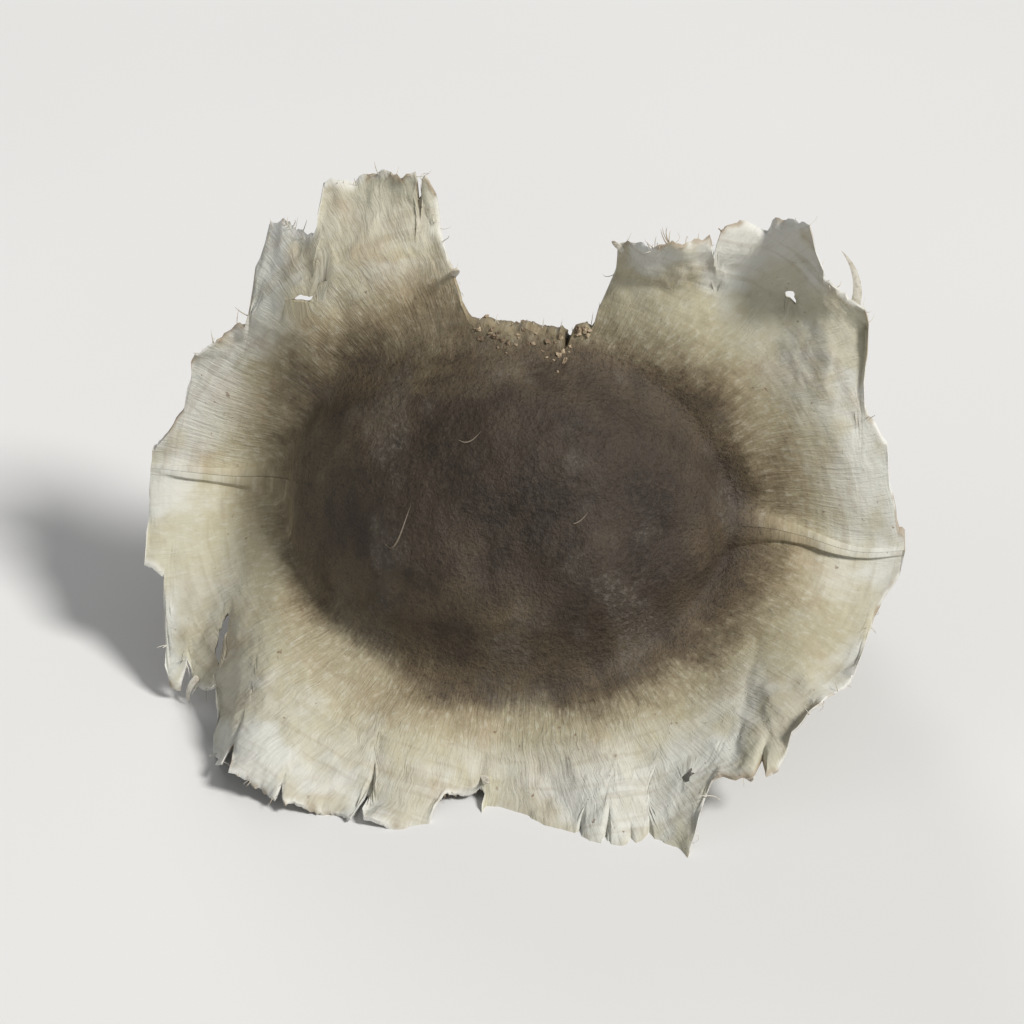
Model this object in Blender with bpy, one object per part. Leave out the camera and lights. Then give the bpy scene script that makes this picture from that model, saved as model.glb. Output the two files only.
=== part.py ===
"""A winged moringa seed lying on a surface: a three-sided coat with three papery wings, grown as one.

Run it with: blender --background --python part.py
The seed's long axis runs along X. It lies on the torn edges of two wings and holds the third up.
The origin is on the resting surface, under the middle of the seed's box.
"""

import math

import bmesh
import bpy
import numpy as np
from mathutils import Matrix, Vector, noise

MM = 0.001

# Driving dimensions
SEED_LENGTH = 22.8 * MM  # from point to point
COAT_LENGTH = 13.3 * MM
COAT_MIDDLE = -0.4 * MM  # its widest place, a little towards -X
COAT_ROUNDNESS = 0.59  # 0.5 ends the coat like a ball, and more draws its ends out
FACE_RADIUS = 4.9 * MM  # from the axis to the middle of a face, halfway along
ANGLE_RADIUS = 5.6 * MM  # from the axis to the angle that a wing grows from
NECK_RADIUS = 1.5 * MM  # where the coat narrows to the points that the wings meet on
NECK_TAPER = 1.3 * MM  # how fast the necks narrow
POINT_RADIUS = 0.45 * MM
BEND_START = 5.6 * MM  # how far from the middle the drawn-out ends begin to stray from the axis
BEND = 0.9 * MM
BEND_GRAIN = 4.2 * MM
BEND_ROWS = ((4.3, 0.5), (21.7, 0.5))  # of the noise, for the stray aside and up
FLARE_LENGTH = 1.6 * MM  # how far up a wing the coat swells out
FLARE_FOOT = math.radians(22)  # where the flare leaves the face, round from the wing's plane
WING_THICKNESS = 0.6 * MM
WING_REACH = 10.9 * MM  # the widest wing's edge, from the axis
EDGE_BEVEL = 0.1 * MM
AXIS_HEIGHT = 5.2 * MM  # of the axis over the surface, which trims the lowest edges to small flats
PITCH = math.radians(1.2)  # the point at +X lies a little lower

# The wings, seen along -X: the angle of each from +Y towards +Z, how it leans and waves sideways, its folds,
# each as a point of its line, along and out from the axis in millimetres, the way in degrees that the folded
# part lies from it and its slope, and its torn outline, as places along the axis with the edge's distance
# from it, in millimetres
UPPER_WING = {
    "angle": math.radians(88),
    "lean": -0.9 * MM,
    "waves": ((0.7 * MM, 9.5 * MM, 0.4), (0.28 * MM, 4.3 * MM, 2.0)),
    "folds": ((5.0, 7.5, 82, 0.62), (-4.4, 8.0, 118, -0.5), (8.8, 5.0, 12, -0.35)),
    "outline": (
        (-11.2, 0.8), (-10.4, 2.2), (-10.1, 4.3), (-8.6, 5.4), (-8.3, 7.9), (-6.5, 8.1), (-6.2, 9.3),
        (-3.3, 10.2), (-2.6, 8.2), (-1.7, 6.2), (0.6, 5.9), (1.9, 6.3), (2.4, 8.6), (3.1, 9.4),
        (7.9, 9.8), (8.3, 8.3), (9.6, 7.4), (9.9, 4.6), (10.6, 3.3), (11.1, 0.8),
    ),
}  # fmt: skip
FRONT_WING = {
    "angle": math.radians(209),
    "lean": 0.5 * MM,
    "waves": ((0.6 * MM, 11.0 * MM, 1.1), (0.25 * MM, 4.7 * MM, 0.3)),
    "folds": ((7.3, 6.5, 6, -0.65), (-7.6, 6.0, 172, 0.45)),
    "outline": (
        (-11.3, 0.8), (-10.9, 3.0), (-10.3, 3.4), (-9.9, 6.2), (-8.2, 6.9), (-7.9, 8.9), (-5.2, 10.4),
        (-1.1, 10.8), (-0.8, 9.5), (0.2, 8.8), (0.5, 10.2), (1.9, 10.9), (6.5, 10.7), (6.9, 8.6),
        (8.6, 8.1), (9.7, 5.2), (10.4, 4.6), (10.7, 2.2), (11.3, 0.8),
    ),
}  # fmt: skip
BACK_WING = {
    "angle": math.radians(328.5),
    "lean": -0.4 * MM,
    "waves": ((0.6 * MM, 10.0 * MM, 3.6), (0.25 * MM, 3.9 * MM, 1.2)),
    "folds": ((6.9, 6.0, 8, 0.6), (-7.0, 6.5, 165, -0.35)),
    "outline": (
        (-11.2, 0.8), (-10.4, 2.0), (-10.0, 4.6), (-8.9, 4.9), (-8.4, 7.3), (-6.7, 8.0), (-6.3, 9.4),
        (-4.7, 10.3), (-2.0, 10.3), (-1.7, 8.7), (0.9, 8.4), (1.4, 9.8), (4.7, 10.5), (6.2, 10.2),
        (6.8, 7.6), (8.8, 6.9), (9.5, 4.2), (10.5, 3.6), (10.8, 1.5), (11.2, 0.8),
    ),
}  # fmt: skip
WINGS = (UPPER_WING, FRONT_WING, BACK_WING)
FRAY = 0.22 * MM  # how far the torn edges stray from their outline
FRAY_GRAIN = 0.9 * MM
FRAY_SEED = 7.3

# How finely the seed is divided: rings along the axis, and columns in half a sector, from a wing's edge
# down its side to the middle of the face
RINGS = 58
SIDE_COLUMNS = 8
DOME_COLUMNS = 4

COAT_BROWN = (0.055, 0.041, 0.03, 1)
WING_CREAM = (0.56, 0.5, 0.36, 1)


def clear_scene():
    for obj in list(bpy.data.objects):
        bpy.data.objects.remove(obj)


def principled(name, colour, roughness):
    material = bpy.data.materials.new(name)
    material.use_nodes = True
    shader = material.node_tree.nodes["Principled BSDF"]
    shader.inputs["Base Color"].default_value = colour
    shader.inputs["Roughness"].default_value = roughness
    shader.inputs["Metallic"].default_value = 0.0
    material.diffuse_color = colour
    return material


def radius_at(x, widest):
    """The coat and the necks at its ends run together at x, for a coat this wide at its middle."""
    from_middle = abs(x - COAT_MIDDLE)
    coat = widest * (1 - min(1.0, 2 * from_middle / COAT_LENGTH) ** 2) ** COAT_ROUNDNESS
    past = max(0.0, from_middle - 0.45 * COAT_LENGTH)
    neck = POINT_RADIUS + (NECK_RADIUS - POINT_RADIUS) * math.exp(-past / NECK_TAPER)
    return (coat**3 + neck**3) ** (1 / 3)


def edge_at(wing, x):
    """How far the wing's torn edge is from the axis at x."""
    places, reaches = zip(*wing["outline"])
    own_row = FRAY_SEED * (1 + WINGS.index(wing))
    stray = FRAY * noise.noise(Vector((x / FRAY_GRAIN, own_row, 0)))
    return float(np.interp(x / MM, places, reaches)) * MM + stray


def fold_at(fold, x, along):
    """How far aside a fold takes a point that lies past its line."""
    line_x, line_along, facing, slope = fold
    facing = math.radians(facing)
    past = (x - line_x * MM) * math.cos(facing) + (along - line_along * MM) * math.sin(facing)
    return slope * max(0.0, past)


def sway(wing, x, along):
    """How far the wing lies aside from its own plane, this far from the axis."""
    past_coat = math.hypot(0.75 * x, along) - ANGLE_RADIUS
    out = min(1.1, max(0.0, past_coat / (WING_REACH - ANGLE_RADIUS)))
    clear_of_axis = min(1.0, along / ANGLE_RADIUS)
    waving = sum(size * math.sin(math.tau * x / length + start) for size, length, start in wing["waves"])
    folded = sum(fold_at(fold, x, along) for fold in wing["folds"])
    return out * clear_of_axis * (wing["lean"] * out + waving) + clear_of_axis**2 * folded


def dome_point(x, angle, half_angle):
    """A point of the face's dome, this far round from the wing's plane."""
    corner, middle = radius_at(x, ANGLE_RADIUS), radius_at(x, FACE_RADIUS)
    swell = 0.5 + 0.5 * math.cos(math.pi * angle / half_angle)
    return (middle + (corner - middle) * swell) * Vector((math.cos(angle), math.sin(angle)))


def section_point(wing, x, column, half_angle):
    """A point of half a sector of the cross-section at x, as (along the wing, aside from its plane).

    Column 0 is the middle of the torn edge. The side runs down from it and flares out into the dome.
    """
    corner = radius_at(x, ANGLE_RADIUS)
    half_thickness = WING_THICKNESS / 2
    foot_angle = max(FLARE_FOOT, math.asin(1.15 * half_thickness / corner))
    if column > SIDE_COLUMNS:
        share = (column - SIDE_COLUMNS) / DOME_COLUMNS
        return dome_point(x, foot_angle + (half_angle - foot_angle) * share, half_angle)
    foot = dome_point(x, foot_angle, half_angle)
    edge = max(edge_at(wing, x), foot.x + 2 * EDGE_BEVEL)
    if column == 0:
        return Vector((edge, 0))
    top = edge - EDGE_BEVEL
    along = top + (foot.x - top) * (column - 1) / (SIDE_COLUMNS - 1)
    flare_length = FLARE_LENGTH * corner / ANGLE_RADIUS + half_thickness
    down_the_flare = min(1.0, max(0.0, 1 - (along - foot.x) / flare_length))
    return Vector((along, half_thickness + (foot.y - half_thickness) * down_the_flare**3))


def place(x, along, aside, angle):
    """The point at x, this far along a wing's direction and this far aside from its plane."""
    c, s = math.cos(angle), math.sin(angle)
    return Vector((x, along * c - aside * s, along * s + aside * c))


def end_bend(x):
    """How far the drawn-out ends of the seed stray aside and up between the coat and their points."""
    past = max(0.0, abs(x) - BEND_START) / (SEED_LENGTH / 2 - BEND_START)
    aside, up = [noise.noise(Vector((x / BEND_GRAIN, *row))) for row in BEND_ROWS]
    return Vector((0, aside, up)) * BEND * 4 * past * (1 - past)


def skin_point(ring, column):
    """A point of the seed's skin from its ring along the axis and its column round it."""
    x = (ring / RINGS - 0.5) * SEED_LENGTH
    if ring in (0, RINGS):
        return Vector((x, 0, 0))
    per_half = SIDE_COLUMNS + DOME_COLUMNS
    half, within = divmod(column, per_half)
    here, following = WINGS[half // 2], WINGS[(half // 2 + 1) % len(WINGS)]
    half_angle = ((following["angle"] - here["angle"]) % math.tau) / 2
    side = 1
    wing = here
    if half % 2:
        side = -1
        wing = following
        within = per_half - within
    along, aside = section_point(wing, x, within, half_angle)
    return place(x, along, side * aside + sway(wing, x, along), wing["angle"]) + end_bend(x)


def grow_seed():
    """A ball drawn out into the coat and its three wings, with its rings set along the axis."""
    columns = 2 * len(WINGS) * (SIDE_COLUMNS + DOME_COLUMNS)
    bm = bmesh.new()
    bmesh.ops.create_uvsphere(bm, u_segments=columns, v_segments=RINGS, radius=1)
    for vert in bm.verts:
        ring = round(math.acos(max(-1.0, min(1.0, -vert.co.z))) / math.pi * RINGS)
        column = round(math.atan2(vert.co.y, vert.co.x) / math.tau * columns) % columns
        vert.co = skin_point(ring, column)
    bmesh.ops.triangulate(bm, faces=bm.faces, quad_method="SHORT_EDGE")
    bmesh.ops.recalc_face_normals(bm, faces=bm.faces)
    return bm


def put_in_order(bm):
    """Sorts the mesh by place, because a cut leaves it in a different order each time."""
    bm.verts.index_update()
    by_place = sorted(bm.verts, key=lambda vert: tuple(vert.co))
    rank = {vert.index: number for number, vert in enumerate(by_place)}
    bm.verts.sort(key=lambda vert: rank[vert.index])
    bm.verts.index_update()
    count = len(bm.verts)

    def edge_rank(edge):
        first, second = sorted(vert.index for vert in edge.verts)
        return second * count + first

    bm.edges.sort(key=edge_rank)


def lay_down(bm):
    """Tips the seed as it rests, trims what would be under the surface, and centres its box."""
    bm.transform(Matrix.Translation((0, 0, AXIS_HEIGHT)) @ Matrix.Rotation(PITCH, 4, "Y"))
    everything = bm.verts[:] + bm.edges[:] + bm.faces[:]
    bmesh.ops.bisect_plane(
        bm, geom=everything, dist=1e-7, plane_co=(0, 0, 0), plane_no=(0, 0, -1), clear_outer=True
    )
    put_in_order(bm)
    rim = [edge for edge in bm.edges if edge.is_boundary]
    bmesh.ops.holes_fill(bm, edges=rim, sides=0)
    bmesh.ops.triangulate(bm, faces=bm.faces)
    xs, ys = [v.co.x for v in bm.verts], [v.co.y for v in bm.verts]
    bmesh.ops.translate(bm, verts=bm.verts, vec=(-(min(xs) + max(xs)) / 2, -(min(ys) + max(ys)) / 2, 0))


def colour(seed):
    """Brown on the coat, cream on the wings."""
    seed.data.materials.append(principled("coat", COAT_BROWN, 0.65))
    seed.data.materials.append(principled("wing", WING_CREAM, 0.8))
    ends = sorted((v.co for v in seed.data.vertices), key=lambda co: co.x)
    first, last = ends[0], ends[-1]
    for face in seed.data.polygons:
        share = (face.center.x - first.x) / (last.x - first.x)
        from_axis = (face.center - first.lerp(last, share)).length
        on_wing = from_axis > radius_at((share - 0.5) * SEED_LENGTH, ANGLE_RADIUS) + 0.5 * FLARE_LENGTH
        face.material_index = int(on_wing)


def main():
    clear_scene()
    bm = grow_seed()
    lay_down(bm)
    mesh = bpy.data.meshes.new("seed")
    bm.to_mesh(mesh)
    bm.free()
    seed = bpy.data.objects.new("seed", mesh)
    bpy.context.scene.collection.objects.link(seed)
    colour(seed)
    mesh.shade_smooth()
    mesh.set_sharp_from_angle(angle=math.radians(50))


main()
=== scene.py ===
"""A winged moringa seed lying on a pale surface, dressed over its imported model."""

import functools
import math
import random

import bmesh
import bpy
import numpy as np
from mathutils import Matrix, Vector, noise


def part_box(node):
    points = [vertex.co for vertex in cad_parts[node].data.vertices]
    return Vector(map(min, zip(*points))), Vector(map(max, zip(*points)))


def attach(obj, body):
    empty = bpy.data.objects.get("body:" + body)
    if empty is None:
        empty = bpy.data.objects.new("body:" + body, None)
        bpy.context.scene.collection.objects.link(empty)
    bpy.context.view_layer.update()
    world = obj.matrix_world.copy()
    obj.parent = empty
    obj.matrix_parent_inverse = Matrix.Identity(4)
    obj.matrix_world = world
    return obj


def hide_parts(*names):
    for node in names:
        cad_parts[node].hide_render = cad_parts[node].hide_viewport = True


MM = 0.001

# The seed's form, with the same values as its solid
SEED_LENGTH = 22.8 * MM
COAT_LENGTH = 13.3 * MM
COAT_MIDDLE = -0.4 * MM
COAT_ROUNDNESS = 0.59
FACE_RADIUS = 4.9 * MM
ANGLE_RADIUS = 5.6 * MM
NECK_RADIUS = 1.5 * MM
NECK_TAPER = 1.3 * MM
POINT_RADIUS = 0.45 * MM
BEND_START = 5.6 * MM  # how far from the middle the drawn-out ends begin to stray from the axis
BEND = 0.9 * MM
BEND_GRAIN = 4.2 * MM
BEND_ROWS = ((4.3, 0.5), (21.7, 0.5))  # of the noise, for the stray aside and up
FLARE_LENGTH = 1.6 * MM
FLARE_FOOT = math.radians(22)
WING_REACH = 10.9 * MM
PITCH = math.radians(1.2)

# The wings: the angle of each from +Y towards +Z, how it leans and waves sideways, its folds, its torn
# outline and the narrow tears in its edge, in millimetres and degrees. A fold is a point of its line, along
# and out from the axis, the way that the folded part lies from it and its slope. The outline is places along
# the axis with the edge's distance from it. A tear is its place, its depth and its width.
UPPER_WING = {
    "angle": math.radians(88),
    "lean": -0.9 * MM,
    "waves": ((0.7 * MM, 9.5 * MM, 0.4), (0.28 * MM, 4.3 * MM, 2.0)),
    "folds": ((5.0, 7.5, 82, 0.62), (-4.4, 8.0, 118, -0.5), (8.8, 5.0, 12, -0.35)),
    "outline": (
        (-11.2, 0.8), (-10.4, 2.2), (-10.1, 4.3), (-8.6, 5.4), (-8.3, 7.9), (-6.5, 8.1), (-6.2, 9.3),
        (-3.3, 10.2), (-2.6, 8.2), (-1.7, 6.2), (0.6, 5.9), (1.9, 6.3), (2.4, 8.6), (3.1, 9.4),
        (7.9, 9.8), (8.3, 8.3), (9.6, 7.4), (9.9, 4.6), (10.6, 3.3), (11.1, 0.8),
    ),
    "tears": ((-8.3, 0.7, 0.3), (-3.4, 1.3, 0.35), (1.2, 0.6, 0.4), (5.3, 0.9, 0.3), (6.6, 0.5, 0.5)),
}
FRONT_WING = {
    "angle": math.radians(209),
    "lean": 0.5 * MM,
    "waves": ((0.6 * MM, 11.0 * MM, 1.1), (0.25 * MM, 4.7 * MM, 0.3)),
    "folds": ((7.3, 6.5, 6, -0.65), (-7.6, 6.0, 172, 0.45)),
    "outline": (
        (-11.3, 0.8), (-10.9, 3.0), (-10.3, 3.4), (-9.9, 6.2), (-8.2, 6.9), (-7.9, 8.9), (-5.2, 10.4),
        (-1.1, 10.8), (-0.8, 9.5), (0.2, 8.8), (0.5, 10.2), (1.9, 10.9), (6.5, 10.7), (6.9, 8.6),
        (8.6, 8.1), (9.7, 5.2), (10.4, 4.6), (10.7, 2.2), (11.3, 0.8),
    ),
    "tears": (
        (-9.4, 0.7, 0.4), (-6.9, 0.9, 0.3), (-5.3, 0.6, 0.3), (-2.9, 1.5, 0.4), (3.2, 0.8, 0.3),
        (4.0, 1.2, 0.3), (4.7, 0.7, 0.3), (5.2, 1.0, 0.3), (8.2, 0.6, 0.4),
    ),
}
BACK_WING = {
    "angle": math.radians(328.5),
    "lean": -0.4 * MM,
    "waves": ((0.6 * MM, 10.0 * MM, 3.6), (0.25 * MM, 3.9 * MM, 1.2)),
    "folds": ((6.9, 6.0, 8, 0.6), (-7.0, 6.5, 165, -0.35)),
    "outline": (
        (-11.2, 0.8), (-10.4, 2.0), (-10.0, 4.6), (-8.9, 4.9), (-8.4, 7.3), (-6.7, 8.0), (-6.3, 9.4),
        (-4.7, 10.3), (-2.0, 10.3), (-1.7, 8.7), (0.9, 8.4), (1.4, 9.8), (4.7, 10.5), (6.2, 10.2),
        (6.8, 7.6), (8.8, 6.9), (9.5, 4.2), (10.5, 3.6), (10.8, 1.5), (11.2, 0.8),
    ),
    "tears": (
        (-9.2, 0.6, 0.4), (-5.6, 1.0, 0.3), (-4.2, 0.6, 0.3), (-3.1, 1.4, 0.4), (2.6, 1.0, 0.3),
        (3.6, 0.6, 0.3), (5.4, 0.8, 0.4), (8.4, 0.7, 0.3),
    ),
}
WINGS = (UPPER_WING, FRONT_WING, BACK_WING)
FRAY = 0.22 * MM
FRAY_GRAIN = 0.9 * MM
FRAY_SEED = 7.3

# What the dressed seed has beyond its solid: papery wings, with their crinkles, and a coat in low relief
RINGS = 272
SIDE_COLUMNS = 40
DOME_COLUMNS = 18
ROOT_THICKNESS = 0.5 * MM
MARGIN_THICKNESS = 0.15 * MM
THINNING_LENGTH = 3.0 * MM
FINE_FRAYS = ((0.12 * MM, 0.3 * MM), (0.1 * MM, 0.13 * MM))
CRINKLES = ((0.36 * MM, 3.4 * MM, 11.0), (0.15 * MM, 1.3 * MM, 23.0), (0.045 * MM, 0.5 * MM, 37.0))
CURL = 0.8 * MM
CURL_GRAIN = 1.8 * MM
CURL_WIDTH = 1.1 * MM
CURL_ROW = 50  # of the noise
DRIFTS = ((0.24 * MM, 2.2 * MM), (0.13 * MM, 0.6 * MM), (0.06 * MM, 0.22 * MM))
DRIFT_ROW = 70.3
DRIFT_ROW_GAP = 40  # between the noise along the seed and the noise away from it
COAT_RELIEF = ((0.3 * MM, 2.8 * MM), (0.09 * MM, 0.9 * MM), (0.025 * MM, 0.3 * MM))
COLOUR_NARROWING = 0.86  # the brown's outline is rounder than the coat
SHARP_ANGLE = math.radians(55)

# Holes through the wings: the wing, the place along it and out from the axis, and half sizes
HOLES = (
    (UPPER_WING, 7.3 * MM, 7.2 * MM, 0.17 * MM, 0.15 * MM),
    (UPPER_WING, -6.6 * MM, 6.2 * MM, 0.7 * MM, 0.12 * MM),
    (FRONT_WING, 6.2 * MM, 8.2 * MM, 0.16 * MM, 0.2 * MM),
    (FRONT_WING, -8.3 * MM, 5.2 * MM, 0.14 * MM, 0.8 * MM),
    (BACK_WING, -1.9 * MM, 7.6 * MM, 0.25 * MM, 0.2 * MM),
    (BACK_WING, 7.6 * MM, 5.0 * MM, 0.13 * MM, 0.7 * MM),
)
LEAST_REACH = 1.6  # in rings and columns, that a hole takes away before its rim is drawn in
RIM_FRAY = 0.6

HALF_FACE = math.pi / 3  # about half the angle between two wings
# Longer curls at the torn edges: wing, place, length, width, thickness, lean within the wing, curl out of it
# and twist within it in radians, and how blunt the tip is
LONG_CURLS = (
    (UPPER_WING, 9.1 * MM, 2.1 * MM, 0.34 * MM, 0.13 * MM, 0.5, -0.3, 1.3, 2),
    (UPPER_WING, 2.6 * MM, 0.9 * MM, 0.2 * MM, 0.06 * MM, -0.9, 1.2, -0.5, 3),
    (UPPER_WING, -2.4 * MM, 1.2 * MM, 0.26 * MM, 0.07 * MM, 0.8, 1.6, 0.5, 2),
    (FRONT_WING, -8.9 * MM, 1.1 * MM, 0.24 * MM, 0.07 * MM, -0.8, 1.4, -0.5, 3),
    (FRONT_WING, 0.2 * MM, 1.3 * MM, 0.26 * MM, 0.08 * MM, 0.5, -1.8, 0.3, 2),
    (FRONT_WING, 7.5 * MM, 1.1 * MM, 0.22 * MM, 0.07 * MM, 0.9, -1.3, 0.5, 3),
    (BACK_WING, -1.2 * MM, 1.2 * MM, 0.24 * MM, 0.07 * MM, 0.7, 1.7, 0.4, 2),
    (BACK_WING, 7.3 * MM, 1.0 * MM, 0.2 * MM, 0.07 * MM, 0.8, -1.2, 0.5, 3),
)
FIBRES_PER_WING = 110
FIBRE_DRAW = 41  # starts their chance, so that each run draws the same ones
FIBRE_LENGTHS = (0.2 * MM, 0.65 * MM)
FIBRE_WIDTHS = (0.02 * MM, 0.036 * MM)
FIBRE_STRAY = 0.9  # how far a fibre's lean strays from square to the edge, in radians
FIBRE_SQUARENESS = 0.8  # how far a fibre follows the slope of its edge
FIBRE_CURL = 1.8
FIBRE_TWIST = 0.6  # as a share of its lean
FIBRE_BLUNTNESS = 3
FIBRE_END_GAP = 0.4  # between the last fibres and the wing's ends, in millimetres
SLOPE_REACH = 0.2 * MM  # how far to each side an edge's slope is measured
FLATNESS = 0.7  # a strand's thickness, as a share of its width
FIBRE_ROOT = 0.1 * MM  # how far inside the torn edge a fibre starts, and then as a share of its width
FIBRE_ROOT_SHARE = 1.4
STRAND_RINGS = 9

# Fibres that lie on the front face: from and to, each as a place along it and an angle round it, then how far
# it bows and its width
LAID_FIBRES = (
    ((-3.2 * MM, math.radians(166)), (-2.5 * MM, math.radians(151)), 0.12, 0.06 * MM),
    ((2.1 * MM, math.radians(152)), (2.5 * MM, math.radians(147)), 0.02, 0.04 * MM),
    ((-1.4 * MM, math.radians(128)), (-0.7 * MM, math.radians(125)), 0.04, 0.045 * MM),
)
LAID_HEIGHT = 0.01 * MM
LAID_BLUNTNESS = 4

CRUMB_DRAW = 17  # starts their chance, as for the fibres
CRUMB_SIZES = (0.03 * MM, 0.09 * MM)
CRUMB_SCATTER = 0.25 * MM
CRUMB_ROOT = 0.05 * MM  # how far inside the torn edge the crumbs begin
CRUMB_LUMPINESS = 0.9
CRUMB_LUMPS = 1.6  # about as many across a crumb
CRUMB_STRETCH = (0.7, 1.6)
CRUMB_SQUASH = (0.6, 1.1)
# Where crumbs are left: the wing, from where to where along it in millimetres, and how many
CRUMB_PLACES = ((UPPER_WING, -1.5, 1.9, 70), (BACK_WING, -1.4, 0.8, 24))

# Colours along the fade, from the coat's middle to the wings
FADE = (
    (0.0, (0.012, 0.008, 0.0055)),
    (0.2, (0.022, 0.0148, 0.0098)),
    (0.34, (0.046, 0.0325, 0.0205)),
    (0.45, (0.105, 0.078, 0.045)),
    (0.56, (0.205, 0.164, 0.098)),
    (0.69, (0.33, 0.282, 0.183)),
    (0.84, (0.42, 0.385, 0.275)),
    (1.0, (0.46, 0.437, 0.345)),
)
# Patches, pits and dust on the coat
RUSTY_BROWN = (0.034, 0.0225, 0.0145)
GREY_BROWN = (0.05, 0.038, 0.0265)
PIT_BROWN = (0.014, 0.0095, 0.007)
DUST_GREY = (0.12, 0.105, 0.086)
# Blots, grain, specks and torn rims on the wings
WARM_TAN = (0.33, 0.245, 0.15)
GREENISH_CREAM = (0.385, 0.375, 0.265)
PAPER_WHITE = (0.575, 0.58, 0.545)
LINE_TAN = (0.26, 0.21, 0.135)
GRAIN_TAN = (0.27, 0.225, 0.145)
GRAIN_CREAM = (0.56, 0.545, 0.475)
SPECK_BROWN = (0.16, 0.1, 0.06)
RIM_BROWN = (0.26, 0.18, 0.105)
RIM_WHITE = (0.655, 0.65, 0.61)
# Fibres and crumbs
STRAW = (0.6, 0.57, 0.49)
TANNED_STRAW = (0.38, 0.3, 0.2)
DULL_STRAW = (0.2, 0.17, 0.125)
DULL_BROWN = (0.12, 0.092, 0.062)
STRAW_SHADE = (0.16, 0.12, 0.08)
CORK_BROWN = (0.16, 0.11, 0.068)
CORK_TAN = (0.42, 0.33, 0.22)
CORK_SHADE = (0.06, 0.042, 0.028)

# The studio: its floor, each lamp's name, place, width, power and colour, the room's own light and the camera
FLOOR_REACH = 3.0  # from its middle to its edge
BOARD_GREY = (0.63, 0.625, 0.615)
BOARD_WHITE = (0.68, 0.675, 0.665)
LAMPS = (
    ("key", (1.05, -0.45, 1.125), 0.4125, 31.25, (1.0, 0.988, 0.965)),
    ("fill", (-1.875, -1.2, 0.9), 1.5, 5.625, (0.97, 0.985, 1.0)),
    ("rim", (-0.75, 1.5, 0.9), 0.75, 8.4375, (1.0, 0.99, 0.97)),
)
ROOM_COLOUR = (0.95, 0.97, 1.0, 1)
ROOM_LIGHT = 0.26
CAMERA_AZIMUTH = math.radians(-10)
CAMERA_ELEVATION = math.radians(31)
CAMERA_LENS = 100
CAMERA_DISTANCE = 0.083
CAMERA_AIM = Vector((0, -1.5 * MM, -1.6 * MM))  # from the middle of the seed's box


def radius_at(x, widest):
    """The coat and the necks at its ends run together at x, for a coat this wide at its middle."""
    from_middle = abs(x - COAT_MIDDLE)
    coat = widest * (1 - min(1.0, 2 * from_middle / COAT_LENGTH) ** 2) ** COAT_ROUNDNESS
    past = max(0.0, from_middle - 0.45 * COAT_LENGTH)
    neck = POINT_RADIUS + (NECK_RADIUS - POINT_RADIUS) * math.exp(-past / NECK_TAPER)
    return (coat**3 + neck**3) ** (1 / 3)


@functools.cache
def edge_of(number, x):
    """How far the torn edge of the wing with this number is from the axis at x."""
    wing = WINGS[number]
    places, reaches = zip(*wing["outline"])
    own_row = FRAY_SEED * (1 + number)
    stray = FRAY * noise.noise(Vector((x / FRAY_GRAIN, own_row, 0)))
    stray += sum(size * noise.noise(Vector((x / grain, 5 * own_row, 0))) for size, grain in FINE_FRAYS)
    torn = 0.0
    for middle, depth, width in wing["tears"]:
        torn = max(torn, depth * (1 - abs(x / MM - middle) / (width / 2)))
    return (float(np.interp(x / MM, places, reaches)) - torn) * MM + stray


def edge_at(wing, x):
    return edge_of(WINGS.index(wing), x)


def least_edge(wing, x):
    """The torn edge's lower place on the two rings beside x, so that what is rooted below it holds."""
    ring = (x / SEED_LENGTH + 0.5) * RINGS
    beside = [(number / RINGS - 0.5) * SEED_LENGTH for number in (math.floor(ring), math.ceil(ring))]
    return min(edge_at(wing, spot) for spot in beside)


def outness(x, along):
    """How far out past the coat a point of a wing is: 0 on the coat, and 1 at the widest edge."""
    past_coat = math.hypot(0.75 * x, along) - ANGLE_RADIUS
    return min(1.1, max(0.0, past_coat / (WING_REACH - ANGLE_RADIUS)))


def fold_at(fold, x, along):
    """How far aside a fold takes a point that lies past its line."""
    line_x, line_along, facing, slope = fold
    facing = math.radians(facing)
    past = (x - line_x * MM) * math.cos(facing) + (along - line_along * MM) * math.sin(facing)
    return slope * max(0.0, past)


def sway(wing, x, along):
    """How far the wing lies aside from its own plane, this far from the axis."""
    out = outness(x, along)
    clear_of_axis = min(1.0, along / ANGLE_RADIUS)
    waving = sum(size * math.sin(math.tau * x / length + start) for size, length, start in wing["waves"])
    folded = sum(fold_at(fold, x, along) for fold in wing["folds"])
    return out * clear_of_axis * (wing["lean"] * out + waving) + clear_of_axis**2 * folded


def crinkle(wing, x, along):
    """The wing's dry crinkles, and the curl of its torn edge, as a distance aside."""
    number = WINGS.index(wing)
    out = min(1.0, 1.6 * outness(x, along)) * min(1.0, along / ANGLE_RADIUS)
    aside = 0.0
    for size, grain, row in CRINKLES:
        here = Vector((x / grain, along / grain, row * (number + 1)))
        crease = abs(noise.noise(here)) - abs(noise.noise(here + Vector((9, 9, 9))))
        aside += size * out * crease
    near_edge = max(0.0, 1 - (edge_at(wing, x) - along) / CURL_WIDTH)
    curl = noise.noise(Vector((x / CURL_GRAIN, along / CURL_GRAIN, CURL_ROW + 3 * number)))
    return aside + CURL * out * curl * near_edge**2


def drift(wing, x, along):
    """How far a point of the wing strays within the wing, so that its torn edge is ragged all along."""
    out = min(1.0, 2 * outness(x, along)) * min(1.0, along / ANGLE_RADIUS)
    stray_x = stray_along = 0.0
    row = DRIFT_ROW + 5 * WINGS.index(wing)
    for size, grain in DRIFTS:
        stray_x += size * out * noise.noise(Vector((x / grain, along / grain, row)))
        stray_along += size * out * noise.noise(Vector((x / grain, along / grain, row + DRIFT_ROW_GAP)))
    return stray_x, stray_along


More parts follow.
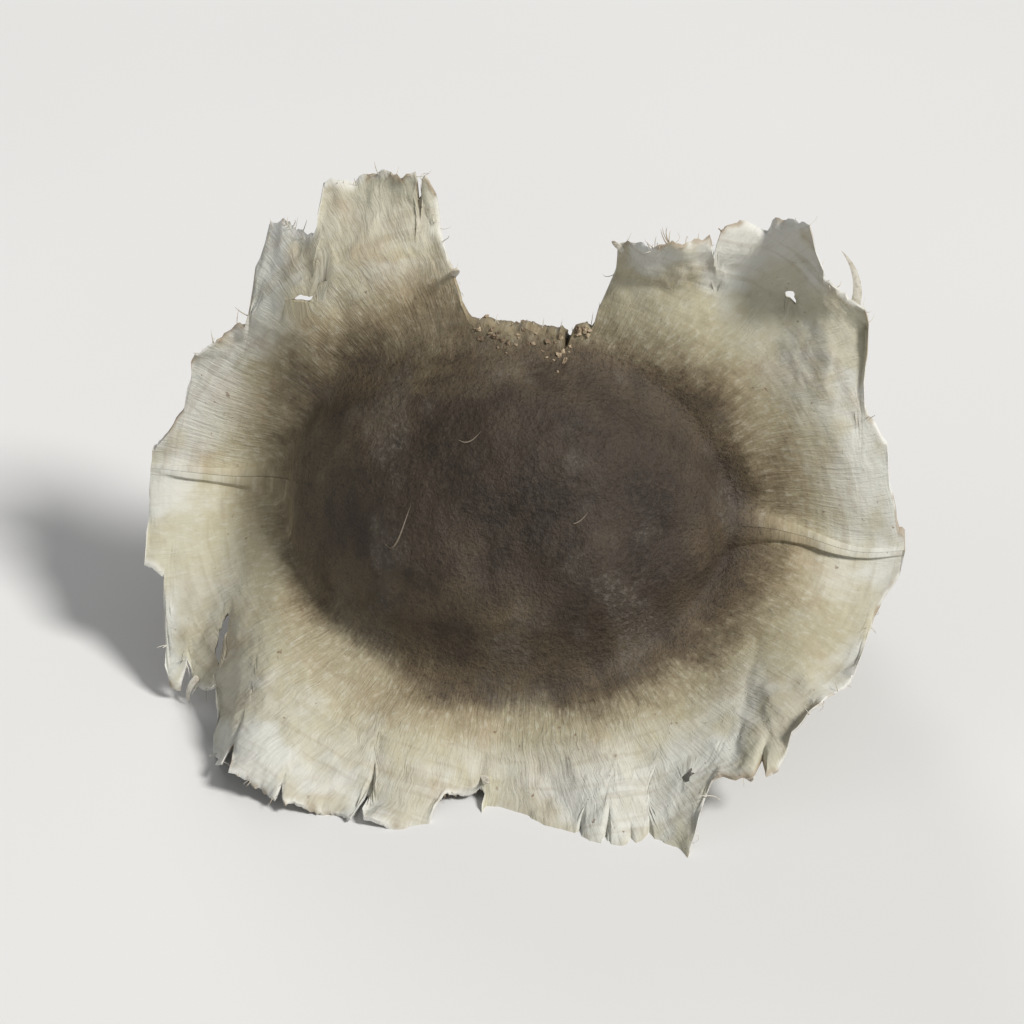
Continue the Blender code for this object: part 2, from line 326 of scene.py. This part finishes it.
def dome_point(x, angle, half_angle):
    """A point of the face's dome, this far round from the wing's plane."""
    corner, middle = radius_at(x, ANGLE_RADIUS), radius_at(x, FACE_RADIUS)
    swell = 0.5 + 0.5 * math.cos(math.pi * angle / half_angle)
    return (middle + (corner - middle) * swell) * Vector((math.cos(angle), math.sin(angle)))


def place(x, along, aside, angle):
    """The point at x, this far along a wing's direction and this far aside from its plane."""
    c, s = math.cos(angle), math.sin(angle)
    return Vector((x, along * c - aside * s, along * s + aside * c))


def end_bend(x):
    """How far the drawn-out ends of the seed stray aside and up between the coat and their points."""
    past = max(0.0, abs(x) - BEND_START) / (SEED_LENGTH / 2 - BEND_START)
    aside, up = [noise.noise(Vector((x / BEND_GRAIN, *row))) for row in BEND_ROWS]
    return Vector((0, aside, up)) * BEND * 4 * past * (1 - past)


def wing_point(wing, x, along, side, half_angle):
    """A point of a wing's side, from the flare at its root to its margin."""
    corner = radius_at(x, ANGLE_RADIUS)
    foot = dome_point(x, foot_angle(corner), half_angle)
    thinned = min(1.0, max(0.0, (along - foot.x) / THINNING_LENGTH))
    half_thickness = (ROOT_THICKNESS + (MARGIN_THICKNESS - ROOT_THICKNESS) * thinned**0.6) / 2
    flare_length = FLARE_LENGTH * corner / ANGLE_RADIUS + half_thickness
    down_the_flare = min(1.0, max(0.0, 1 - (along - foot.x) / flare_length))
    aside = side * (half_thickness + max(0.0, foot.y - half_thickness) * down_the_flare**3)
    stray_x, stray_along = drift(wing, x, along)
    aside += sway(wing, x, along) + crinkle(wing, x, along)
    return place(x + stray_x, along + stray_along, aside, wing["angle"])


def foot_angle(corner):
    """How far round from the wing's plane its flare leaves the dome, for a coat this wide here."""
    return max(FLARE_FOOT, math.asin(min(1.0, 0.6 * ROOT_THICKNESS / corner)))


def relief(point):
    """How far the coat's skin stands up or sinks at a point."""
    return sum(size * noise.noise(point / grain) for size, grain in COAT_RELIEF)


def skin_point(ring, column):
    """A point of the skin, with its wing, its side, how far along it and how far in from its edge it is."""
    x = (ring / RINGS - 0.5) * SEED_LENGTH
    per_half = SIDE_COLUMNS + DOME_COLUMNS
    half, within = divmod(column, per_half)
    here, following = WINGS[half // 2], WINGS[(half // 2 + 1) % len(WINGS)]
    half_angle = ((following["angle"] - here["angle"]) % math.tau) / 2
    side, wing = 1, here
    if half % 2:
        side, wing = -1, following
        within = per_half - within
    if ring in (0, RINGS):
        return Vector((x, 0, 0)), wing, side, 0.0, 0.0, half_angle
    corner = radius_at(x, ANGLE_RADIUS)
    if within > SIDE_COLUMNS:
        share = (within - SIDE_COLUMNS) / DOME_COLUMNS
        start = foot_angle(corner)
        along, aside = dome_point(x, start + (half_angle - start) * share, half_angle)
        point = place(x, along, side * aside, wing["angle"])
        away = Vector((0, point.y, point.z)).normalized()
        point += away * relief(point) * min(1.0, 3 * share)
        return point, wing, side, along, edge_at(wing, x) - along, half_angle
    foot = dome_point(x, foot_angle(corner), half_angle)
    edge = max(edge_at(wing, x), foot.x + MARGIN_THICKNESS)
    if within == 0:
        stray_x, stray_along = drift(wing, x, edge)
        aside = sway(wing, x, edge) + crinkle(wing, x, edge)
        return place(x + stray_x, edge + stray_along, aside, wing["angle"]), wing, 0, edge, 0.0, half_angle
    top = edge - 0.4 * MARGIN_THICKNESS
    along = top + (foot.x - top) * (within - 1) / (SIDE_COLUMNS - 1)
    return wing_point(wing, x, along, side, half_angle), wing, side, along, edge - along, half_angle


def seed_axis(node):
    """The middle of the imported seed's axis: its first and last points lie on it."""
    ends = sorted((v.co for v in node.data.vertices), key=lambda co: co.x)
    return (ends[0] + ends[-1]) / 2


def grow_seed():
    """A ball drawn out into the coat and its three wings, with what the finish reads kept at each point."""
    columns = 2 * len(WINGS) * (SIDE_COLUMNS + DOME_COLUMNS)
    bm = bmesh.new()
    grain = bm.verts.layers.float_vector.new("grain")
    wear = bm.verts.layers.float_vector.new("wear")
    bmesh.ops.create_uvsphere(bm, u_segments=columns, v_segments=RINGS, radius=1)
    facts = {}
    for vert in bm.verts:
        ring = round(math.acos(max(-1.0, min(1.0, -vert.co.z))) / math.pi * RINGS)
        column = round(math.atan2(vert.co.y, vert.co.x) / math.tau * columns) % columns
        point, wing, side, along, margin, half_angle = skin_point(ring, column)
        x = (ring / RINGS - 0.5) * SEED_LENGTH
        within = column % (2 * (SIDE_COLUMNS + DOME_COLUMNS))
        within = min(within, 2 * (SIDE_COLUMNS + DOME_COLUMNS) - within)
        from_axis = math.hypot(point.y, point.z)
        outward = math.hypot(COLOUR_NARROWING * x, from_axis)
        vert[grain] = (math.atan2(from_axis, x) * WING_REACH, outward, 0.05 * WINGS.index(wing))
        vert[wear] = (outward - ANGLE_RADIUS, margin, 0.0)
        vert.co = point + end_bend(x)
        facts[vert] = (wing, side, ring, within, half_angle)
    return bm, facts


def pierce(bm, facts, hole):
    """A hole right through a wing: its faces go on both sides, and a wall joins the two rims."""
    wing, middle_x, middle_along, half_x, half_along = hole
    ring_gap = SEED_LENGTH / RINGS
    torn_edge = edge_at(wing, middle_x)
    column_gap = (torn_edge - radius_at(middle_x, ANGLE_RADIUS)) / SIDE_COLUMNS
    middle = Vector(((middle_x / SEED_LENGTH + 0.5) * RINGS, 1 + (torn_edge - middle_along) / column_gap))
    reach = Vector((max(LEAST_REACH, half_x / ring_gap), max(LEAST_REACH, half_along / column_gap)))
    spots = {}
    for vert, (here, side, ring, within, _) in facts.items():
        from_middle = Vector((ring, within)) - middle
        spot = Vector((from_middle.x / reach.x, from_middle.y / reach.y))
        if here is wing and side and spot.length < 3:
            spots[vert] = spot
    gone = []
    for face in {face for vert in spots for face in vert.link_faces}:
        if all(vert in spots for vert in face.verts):
            if (sum((spots[vert] for vert in face.verts), Vector((0, 0))) / len(face.verts)).length < 1:
                gone.append(face)
    for vert in {vert for face in gone for vert in face.verts}:
        if all(face in gone for face in vert.link_faces):
            del facts[vert]
    bmesh.ops.delete(bm, geom=gone, context="FACES")
    rim = [edge for edge in bm.edges if edge.is_boundary]
    for vert in {vert for edge in rim for vert in edge.verts}:
        round_it = spots[vert].normalized()
        round_it *= 1 + RIM_FRAY * noise.noise(Vector((4 * round_it.x, 4 * round_it.y, middle_x / MM)))
        x, along = middle_x + round_it.x * half_x, middle_along - round_it.y * half_along
        vert.co = wing_point(wing, x, along, facts[vert][1], facts[vert][4]) + end_bend(x)
    bmesh.ops.bridge_loops(bm, edges=rim)


def put_in_order(bm):
    """Sorts the mesh by place, because a cut leaves it in a different order each time."""
    bm.verts.index_update()
    by_place = sorted(bm.verts, key=lambda vert: tuple(vert.co))
    rank = {vert.index: number for number, vert in enumerate(by_place)}
    bm.verts.sort(key=lambda vert: rank[vert.index])
    bm.verts.index_update()
    count = len(bm.verts)

    def edge_rank(edge):
        first, second = sorted(vert.index for vert in edge.verts)
        return second * count + first

    bm.edges.sort(key=edge_rank)


def lay_down(bm, node):
    """Puts the seed where its solid lies, and trims it level where it rests."""
    bm.transform(seat(node))
    everything = bm.verts[:] + bm.edges[:] + bm.faces[:]
    bmesh.ops.bisect_plane(
        bm, geom=everything, dist=1e-7, plane_co=(0, 0, 0), plane_no=(0, 0, -1), clear_outer=True
    )
    put_in_order(bm)
    rim = [edge for edge in bm.edges if edge.is_boundary]
    bmesh.ops.holes_fill(bm, edges=rim, sides=0)
    bmesh.ops.triangulate(bm, faces=bm.faces)
    bmesh.ops.recalc_face_normals(bm, faces=bm.faces)


def keep_in_box(bm, low, high):
    for vert in bm.verts:
        vert.co = [min(max(value, least), most) for value, least, most in zip(vert.co, low, high)]


def as_piece(bm, name, finish):
    """The mesh becomes a piece of the seed, smooth but for its sharp turns."""
    mesh = bpy.data.meshes.new(name)
    bm.to_mesh(mesh)
    bm.free()
    mesh.materials.append(finish)
    mesh.shade_smooth()
    mesh.set_sharp_from_angle(angle=SHARP_ANGLE)
    piece = bpy.data.objects.new(name, mesh)
    bpy.context.scene.collection.objects.link(piece)
    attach(piece, "root")
    return piece


def winged_seed(node):
    bm, facts = grow_seed()
    for hole in HOLES:
        pierce(bm, facts, hole)
    lay_down(bm, node)
    keep_in_box(bm, *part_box("seed"))
    piece = as_piece(bm, "winged_seed", seed_finish())
    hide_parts("seed")
    return piece


def curled_line(root, heading, lift, length, curl, twist):
    """Places along a curl, each with the directions across it and out of it."""
    line = [(root.copy(), heading.cross(lift).normalized(), lift.normalized())]
    turn = Matrix.Rotation(curl / STRAND_RINGS, 3, line[0][1])
    turn @= Matrix.Rotation(twist / STRAND_RINGS, 3, line[0][2])
    for _ in range(STRAND_RINGS):
        before, across, lift = line[-1]
        heading = (turn @ heading).normalized()
        line.append((before + heading * length / STRAND_RINGS, turn @ across, turn @ lift))
    return line


def laid_line(start, end, bow, to_seat):
    """Places along a fibre that lies on the front face, from one place to another, bowed to one side."""
    half_angle = (FRONT_WING["angle"] - UPPER_WING["angle"]) / 2
    points, lifts = [], []
    for number in range(STRAND_RINGS + 1):
        share = number / STRAND_RINGS
        x = start[0] + (end[0] - start[0]) * share
        angle = start[1] + (end[1] - start[1]) * share + bow * math.sin(math.pi * share)
        lift = Vector((0, math.cos(angle), math.sin(angle)))
        from_middle = abs(angle - UPPER_WING["angle"] - half_angle)
        point = lift * dome_point(x, half_angle - from_middle, half_angle).length + Vector((x, 0, 0))
        points.append(to_seat @ (point + lift * (relief(point) + LAID_HEIGHT)))
        lifts.append(lift)
    run = (points[-1] - points[0]).normalized()
    return [(point, run.cross(lift).normalized(), lift) for point, lift in zip(points, lifts)]


def strand(bm, line, width, thickness, blunt):
    """A fibre or flake, drawn out of a small ball along a line, and added to the mesh."""
    one = bmesh.new()
    bmesh.ops.create_uvsphere(one, u_segments=6, v_segments=STRAND_RINGS, radius=1)
    for vert in one.verts:
        round_at = math.atan2(vert.co.y, vert.co.x)
        number = round(math.acos(max(-1.0, min(1.0, -vert.co.z))) / math.pi * STRAND_RINGS)
        middle, across, lift = line[number]
        taper = (1 - (number / STRAND_RINGS) ** blunt) if number else 0.0
        vert.co = middle + across * (width / 2 * taper * math.cos(round_at))
        vert.co += lift * (thickness / 2 * taper * math.sin(round_at))
    bmesh.ops.recalc_face_normals(one, faces=one.faces)
    add_to(bm, one)


def add_to(bm, one):
    """Adds a small mesh to a larger one."""
    mesh = bpy.data.meshes.new("one")
    one.to_mesh(mesh)
    one.free()
    bm.from_mesh(mesh)
    bpy.data.meshes.remove(mesh)


def inside(point, low, high):
    return all(least < value < most for value, least, most in zip(point, low, high))


def seat(node):
    """Where the seed's own axis lies, and how it tips, when it rests."""
    return Matrix.Translation(seed_axis(node)) @ Matrix.Rotation(PITCH, 4, "Y")


def short_fibres(chance):
    """Each as its wing, place, length, width, thickness, lean, curl, twist and bluntness."""
    for wing in WINGS:
        first, last = wing["outline"][0][0], wing["outline"][-1][0]
        for _ in range(FIBRES_PER_WING):
            x = chance.uniform(first + FIBRE_END_GAP, last - FIBRE_END_GAP) * MM
            rise = edge_at(wing, x + SLOPE_REACH) - edge_at(wing, x - SLOPE_REACH)
            slope = rise / (2 * SLOPE_REACH)
            lean = -math.atan(slope) * FIBRE_SQUARENESS + chance.gauss(0, FIBRE_STRAY)
            length = chance.uniform(*FIBRE_LENGTHS)
            width = chance.uniform(*FIBRE_WIDTHS)
            curl = chance.gauss(0, FIBRE_CURL)
            yield wing, x, length, width, FLATNESS * width, lean, curl, FIBRE_TWIST * lean, FIBRE_BLUNTNESS


def torn_fibres(node):
    """Fine fibres and flakes that stand out of the wings' torn edges, with a few longer curls."""
    bm = bmesh.new()
    chance = random.Random(FIBRE_DRAW)
    low, high = [Vector(corner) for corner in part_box("seed")]
    to_seat = seat(node)
    turned = to_seat.to_3x3()
    strands = [*LONG_CURLS, *short_fibres(chance)]
    for wing, x, length, width, thickness, lean, curl, twist, blunt in strands:
        along = least_edge(wing, x) - FIBRE_ROOT - FIBRE_ROOT_SHARE * width
        root = wing_point(wing, x, along, 0, HALF_FACE)
        root = to_seat @ (root + end_bend(x))
        out = turned @ place(math.sin(lean), math.cos(lean), 0, wing["angle"])
        lift = turned @ place(0, 0, 1, wing["angle"])
        if inside(root, low, high) and inside(root + out * length, low, high):
            line = curled_line(root, out, lift, length, curl, twist)
            strand(bm, line, width, thickness, blunt)
    keep_in_box(bm, low, high)
    return as_piece(bm, "torn_fibres", fibre_finish("torn_fibre", STRAW, TANNED_STRAW))


def laid_fibres(node):
    """A few dull fibres of dust and husk that stick to the front face."""
    bm = bmesh.new()
    for start, end, bow, width in LAID_FIBRES:
        strand(bm, laid_line(start, end, bow, seat(node)), width, FLATNESS * width, LAID_BLUNTNESS)
    keep_in_box(bm, *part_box("seed"))
    return as_piece(bm, "laid_fibres", fibre_finish("laid_fibre", DULL_STRAW, DULL_BROWN))


def crumb(bm, chance, spot, size):
    """One knobbly crumb, turned and stretched any way."""
    one = bmesh.new()
    bmesh.ops.create_icosphere(one, subdivisions=2, radius=1)
    shift = Vector((chance.uniform(0, 50), 0, 0))
    for vert in one.verts:
        vert.co *= 1 + CRUMB_LUMPINESS * noise.noise(CRUMB_LUMPS * vert.co + shift)
    stretch = Matrix.Diagonal((chance.uniform(*CRUMB_STRETCH), 1, chance.uniform(*CRUMB_SQUASH), 1))
    angle = chance.uniform(0, math.tau)
    turn = Matrix.Rotation(angle, 4, Vector((chance.gauss(0, 1), 1, 0)).normalized())
    one.transform(Matrix.Translation(spot) @ turn @ stretch @ Matrix.Scale(size, 4))
    bmesh.ops.recalc_face_normals(one, faces=one.faces)
    add_to(bm, one)


def cork_crumbs(node):
    """Crumbs of the wing's spongy root, left on the stumps where it broke away."""
    bm = bmesh.new()
    chance = random.Random(CRUMB_DRAW)
    to_seat = seat(node)
    for wing, first, last, count in CRUMB_PLACES:
        for _ in range(count):
            x = chance.uniform(first, last) * MM
            side = chance.choice((-1, 1))
            inset = abs(chance.gauss(0.2 * CRUMB_SCATTER, CRUMB_SCATTER))
            along = least_edge(wing, x) - CRUMB_ROOT - inset
            spot = wing_point(wing, x, along, side, HALF_FACE)
            crumb(bm, chance, to_seat @ spot, chance.uniform(*CRUMB_SIZES))
    keep_in_box(bm, *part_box("seed"))
    return as_piece(bm, "cork_crumbs", crumb_finish())


class Value:
    """A socket of a finish, so that its maths is written as sums."""

    def __init__(self, finish, socket):
        self.finish = finish
        self.socket = socket

    def maths(self, operation, first, second=0.0):
        return self.finish.node("ShaderNodeMath", {"operation": operation}, {0: first, 1: second})

    def __add__(self, other):
        return self.maths("ADD", self, other)

    def __radd__(self, other):
        return self.maths("ADD", other, self)

    def __sub__(self, other):
        return self.maths("SUBTRACT", self, other)

    def __rsub__(self, other):
        return self.maths("SUBTRACT", other, self)

    def __mul__(self, other):
        return self.maths("MULTIPLY", self, other)

    def __rmul__(self, other):
        return self.maths("MULTIPLY", other, self)

    def __truediv__(self, other):
        return self.maths("DIVIDE", self, other)

    def __rtruediv__(self, other):
        return self.maths("DIVIDE", other, self)


class Finish:
    """A material whose nodes are added one by one."""

    def __init__(self, name):
        self.material = bpy.data.materials.new(name)
        self.material.use_nodes = True
        self.tree = self.material.node_tree
        self.shader = self.tree.nodes["Principled BSDF"]

    def set(self, node, sockets):
        for key, value in sockets.items():
            if isinstance(value, Value):
                self.tree.links.new(value.socket, node.inputs[key])
            else:
                node.inputs[key].default_value = value

    def node(self, kind, settings, sockets, output=0):
        """Adds a node, with its settings first and then its sockets' values or links."""
        node = self.tree.nodes.new(kind)
        for key, value in settings.items():
            if key == "stops":
                self.set_stops(node.color_ramp, value)
            else:
                setattr(node, key, value)
        self.set(node, sockets)
        return Value(self, node.outputs[output])

    def set_stops(self, ramp, stops):
        while len(ramp.elements) < len(stops):
            ramp.elements.new(0.5)
        for element, (position, colour) in zip(ramp.elements, stops):
            element.position = position
            element.color = (*colour, 1)

    def noise(self, where, size, detail, roughness=0.55, stretch=(1, 1, 1)):
        """Soft noise whose blotches are about this size."""
        scale = [share / size for share in stretch]
        spread = self.node("ShaderNodeMapping", {}, {"Vector": where, "Scale": scale})
        sockets = {"Vector": spread, "Scale": 1.0, "Detail": detail, "Roughness": roughness}
        return self.node("ShaderNodeTexNoise", {}, sockets)

    def step(self, value, low, high):
        """Runs smoothly from 0 at low to 1 at high."""
        sockets = {"Value": value, "From Min": low, "From Max": high}
        return self.node("ShaderNodeMapRange", {"interpolation_type": "SMOOTHSTEP"}, sockets)

    def ridge(self, value):
        """Narrow crests where a noise crosses its middle."""
        return 1 - self.node("ShaderNodeMath", {"operation": "ABSOLUTE"}, {0: value * 2 - 1})

    def mix(self, factor, first, second):
        """Mixes two colours."""
        first, second = [value if isinstance(value, Value) else (*value, 1) for value in (first, second)]
        return self.node("ShaderNodeMix", {"data_type": "RGBA"}, {0: factor, 6: first, 7: second}, output=2)

    def parts(self, vector):
        """A vector's three numbers."""
        node = self.node("ShaderNodeSeparateXYZ", {}, {"Vector": vector}).socket.node
        return [Value(self, output) for output in node.outputs]

    def finish(self, colour, roughness, height, bump_depth):
        """The last of it: colour, roughness and bump."""
        bump = self.node("ShaderNodeBump", {}, {"Strength": 1.0, "Distance": bump_depth, "Height": height})
        self.set(self.shader, {"Base Color": colour, "Roughness": roughness, "Normal": bump})
        return self.material


def seed_finish():
    """Dark matte brown on the coat, fading through tan to cream wings, each with its own grain."""
    f = Finish("coat_and_wings")
    here = f.node("ShaderNodeTexCoord", {}, {}, "Object")
    grain = f.node("ShaderNodeAttribute", {"attribute_name": "grain"}, {}, "Vector")
    wear = f.node("ShaderNodeAttribute", {"attribute_name": "wear"}, {}, "Vector")
    past, margin = [part / MM for part in f.parts(wear)[:2]]

    wide = f.noise(here, 7.0 * MM, 1.0)
    broad = f.noise(here, 3.2 * MM, 2.0)
    middling = f.noise(here, 1.0 * MM, 4.0, 0.6)
    fine = f.noise(here, 0.16 * MM, 3.0, 0.65)
    streaks = f.noise(grain, 0.5 * MM, 2.0, 0.6, (1, 0.25, 1))
    fibres = f.noise(grain, 0.1 * MM, 2.0, 0.6, (1, 0.1, 1))
    lines = f.noise(grain, 0.34 * MM, 2.0, 0.6, (0.1, 1, 1))
    blots = f.noise(grain, 2.0 * MM, 3.0, 0.6)
    paper = f.noise(grain, 0.2 * MM, 4.0, 0.7, (1, 0.6, 1))

    off_dome = f.step(past, -0.5, 0.8)
    fade = past + (broad - 0.5) * 2.4 + (middling - 0.5) * 2.0 + (fine - 0.5) * 0.7
    fade = fade + ((streaks - 0.5) * 0.5 + (paper - 0.5) * 1.1 + (0.5 - wide) * 3.0) * off_dome
    share = f.node("ShaderNodeMapRange", {}, {"Value": fade, "From Min": -2.2, "From Max": 3.6})
    colour = f.node("ShaderNodeValToRGB", {"stops": FADE}, {"Fac": share}, "Color")
    on_wing = f.step(fade, 0.2, 2.0)
    on_coat = 1 - f.step(fade, 0.0, 1.7)

    # The coat: warm and cool patches, dark pits and pale scuffs
    colour = f.mix(on_coat * f.step(middling, 0.48, 0.7) * 0.55, colour, RUSTY_BROWN)
    colour = f.mix(on_coat * f.step(fine, 0.5, 0.62) * 0.5, colour, GREY_BROWN)
    grit = f.noise(here, 0.07 * MM, 2.0, 0.7)
    colour = f.mix(on_coat * f.step(grit, 0.52, 0.64) * 0.5, colour, PIT_BROWN)
    patches = f.step(f.noise(here, 2.3 * MM, 2.0), 0.52, 0.64)
    dust = f.step(f.noise(here, 0.15 * MM, 4.0, 0.7), 0.5, 0.64)
    colour = f.mix(on_coat * patches * (0.18 + dust * 0.5), colour, DUST_GREY)

    # The wings: warm blots, a greenish cast, whiter margins, faint lines and specks
    colour = f.mix(on_wing * f.step(blots, 0.48, 0.7) * 0.45, colour, WARM_TAN)
    greenish = f.step(f.noise(here, 4.5 * MM, 1.0), 0.48, 0.6)
    colour = f.mix(on_wing * greenish * 0.3, colour, GREENISH_CREAM)
    white = on_wing * f.step(past, 1.5, 3.8) * f.step(f.noise(here, 2.7 * MM, 3.0), 0.44, 0.58)
    colour = f.mix(white * 0.7, colour, PAPER_WHITE)
    colour = f.mix(on_wing * f.step(lines, 0.52, 0.66) * 0.25, colour, LINE_TAN)
    colour = f.mix(on_wing * f.step(fibres, 0.54, 0.7) * 0.16, colour, GRAIN_TAN)
    colour = f.mix(on_wing * f.step(paper, 0.5, 0.7) * 0.32, colour, GRAIN_CREAM)
    specks = f.step(f.noise(here, 0.26 * MM, 2.0), 0.69, 0.74) * f.step(broad, 0.42, 0.56)
    colour = f.mix(on_wing * specks * 0.7, colour, SPECK_BROWN)
    rim = (1 - f.step(margin, 0.0, 0.3)) * f.step(past, 1.0, 2.6)
    toasted = f.step(f.noise(here, 1.7 * MM, 3.0), 0.5, 0.6)
    colour = f.mix(rim * toasted * 0.6, colour, RIM_BROWN)
    colour = f.mix(rim * (1 - toasted) * 0.7, colour, RIM_WHITE)

    wrinkles = f.ridge(f.noise(here, 0.7 * MM, 2.0, 0.6))
    coat_height = middling * 0.5 + fine * 0.75 + grit * 0.35 + wrinkles * 0.6
    wing_height = lines * 0.35 + fibres * 0.35 + streaks * 0.2 + paper * 0.4
    past_coat = f.step(past, -0.2, 1.2)
    height = coat_height * (1 - past_coat) + wing_height * past_coat
    roughness = 0.54 + fine * 0.2 + on_wing * 0.12
    f.set(f.shader, {"Specular IOR Level": 0.3})
    return f.finish(colour, roughness, height, 0.09 * MM)


def fibre_finish(name, pale, tanned):
    """Straw, browner in places."""
    f = Finish(name)
    here = f.node("ShaderNodeTexCoord", {}, {}, "Object")
    tint = f.noise(here, 1.4 * MM, 3.0)
    fine = f.noise(here, 0.1 * MM, 4.0)
    colour = f.mix(f.step(tint, 0.42, 0.62), pale, tanned)
    colour = f.mix(f.step(fine, 0.5, 0.7) * 0.4, colour, STRAW_SHADE)
    return f.finish(colour, 0.6 + fine * 0.2, fine, 0.02 * MM)


def crumb_finish():
    """Brown spongy cork."""
    f = Finish("cork_crumb")
    here = f.node("ShaderNodeTexCoord", {}, {}, "Object")
    tint = f.noise(here, 0.5 * MM, 2.0)
    fine = f.noise(here, 0.05 * MM, 4.0)
    colour = f.mix(f.step(tint, 0.4, 0.62), CORK_BROWN, CORK_TAN)
    colour = f.mix(f.step(fine, 0.5, 0.7) * 0.5, colour, CORK_SHADE)
    return f.finish(colour, 0.75 + fine * 0.15, fine, 0.03 * MM)


def floor_finish():
    """A matte, nearly white board."""
    f = Finish("pale_board")
    here = f.node("ShaderNodeTexCoord", {}, {}, "Object")
    cloudy = f.noise(here, 30 * MM, 1.0)
    colour = f.mix(cloudy, BOARD_GREY, BOARD_WHITE)
    f.set(f.shader, {"Base Color": colour, "Roughness": 0.75, "Specular IOR Level": 0.2})
    return f.material


def pale_floor():
    bm = bmesh.new()
    bmesh.ops.create_grid(bm, x_segments=8, y_segments=8, size=FLOOR_REACH)
    mesh = bpy.data.meshes.new("floor")
    bm.to_mesh(mesh)
    bm.free()
    mesh.materials.append(floor_finish())
    floor = bpy.data.objects.new("floor", mesh)
    bpy.context.scene.collection.objects.link(floor)


def soft_light(name, place_at, target, size, power, colour):
    data = bpy.data.lights.new(name, "AREA")
    data.shape = "DISK"
    data.size = size
    data.energy = power
    data.color = colour
    lamp = bpy.data.objects.new(name, data)
    lamp.location = place_at
    lamp.rotation_euler = (target - Vector(place_at)).to_track_quat("-Z", "Y").to_euler()
    bpy.context.scene.collection.objects.link(lamp)


def studio(middle):
    """Soft light from above and the right, a wide fill from the left, a low one behind, and a bright room."""
    for name, place_at, width, power, colour in LAMPS:
        soft_light(name, place_at, middle, width, power, colour)
    world = bpy.data.worlds.new("room")
    world.use_nodes = True
    background = world.node_tree.nodes["Background"]
    background.inputs["Color"].default_value = ROOM_COLOUR
    background.inputs["Strength"].default_value = ROOM_LIGHT
    bpy.context.scene.world = world
    bpy.context.scene.view_settings.view_transform = "Standard"


def camera(middle):
    """Looks squarely at the front face."""
    data = bpy.data.cameras.new("camera")
    data.lens = CAMERA_LENS
    data.clip_start = 0.005
    data.clip_end = 5
    eye = bpy.data.objects.new("camera", data)
    level, rise = math.cos(CAMERA_ELEVATION), math.sin(CAMERA_ELEVATION)
    back = Vector((-math.sin(CAMERA_AZIMUTH) * level, -math.cos(CAMERA_AZIMUTH) * level, rise))
    eye.location = middle + back * CAMERA_DISTANCE
    eye.rotation_euler = (-back).to_track_quat("-Z", "Y").to_euler()
    bpy.context.scene.collection.objects.link(eye)
    bpy.context.scene.camera = eye


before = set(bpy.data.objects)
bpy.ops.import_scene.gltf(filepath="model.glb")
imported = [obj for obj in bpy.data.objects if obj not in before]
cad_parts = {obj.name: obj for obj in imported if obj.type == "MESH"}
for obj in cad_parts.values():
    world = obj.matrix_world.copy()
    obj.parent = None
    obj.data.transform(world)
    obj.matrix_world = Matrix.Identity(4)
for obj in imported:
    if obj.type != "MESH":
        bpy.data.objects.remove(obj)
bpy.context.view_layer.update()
winged_seed(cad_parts["seed"])
torn_fibres(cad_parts["seed"])
laid_fibres(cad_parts["seed"])
cork_crumbs(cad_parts["seed"])
pale_floor()
seed_low, seed_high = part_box("seed")
seed_middle = (Vector(seed_low) + Vector(seed_high)) / 2
studio(seed_middle)
camera(seed_middle + CAMERA_AIM)
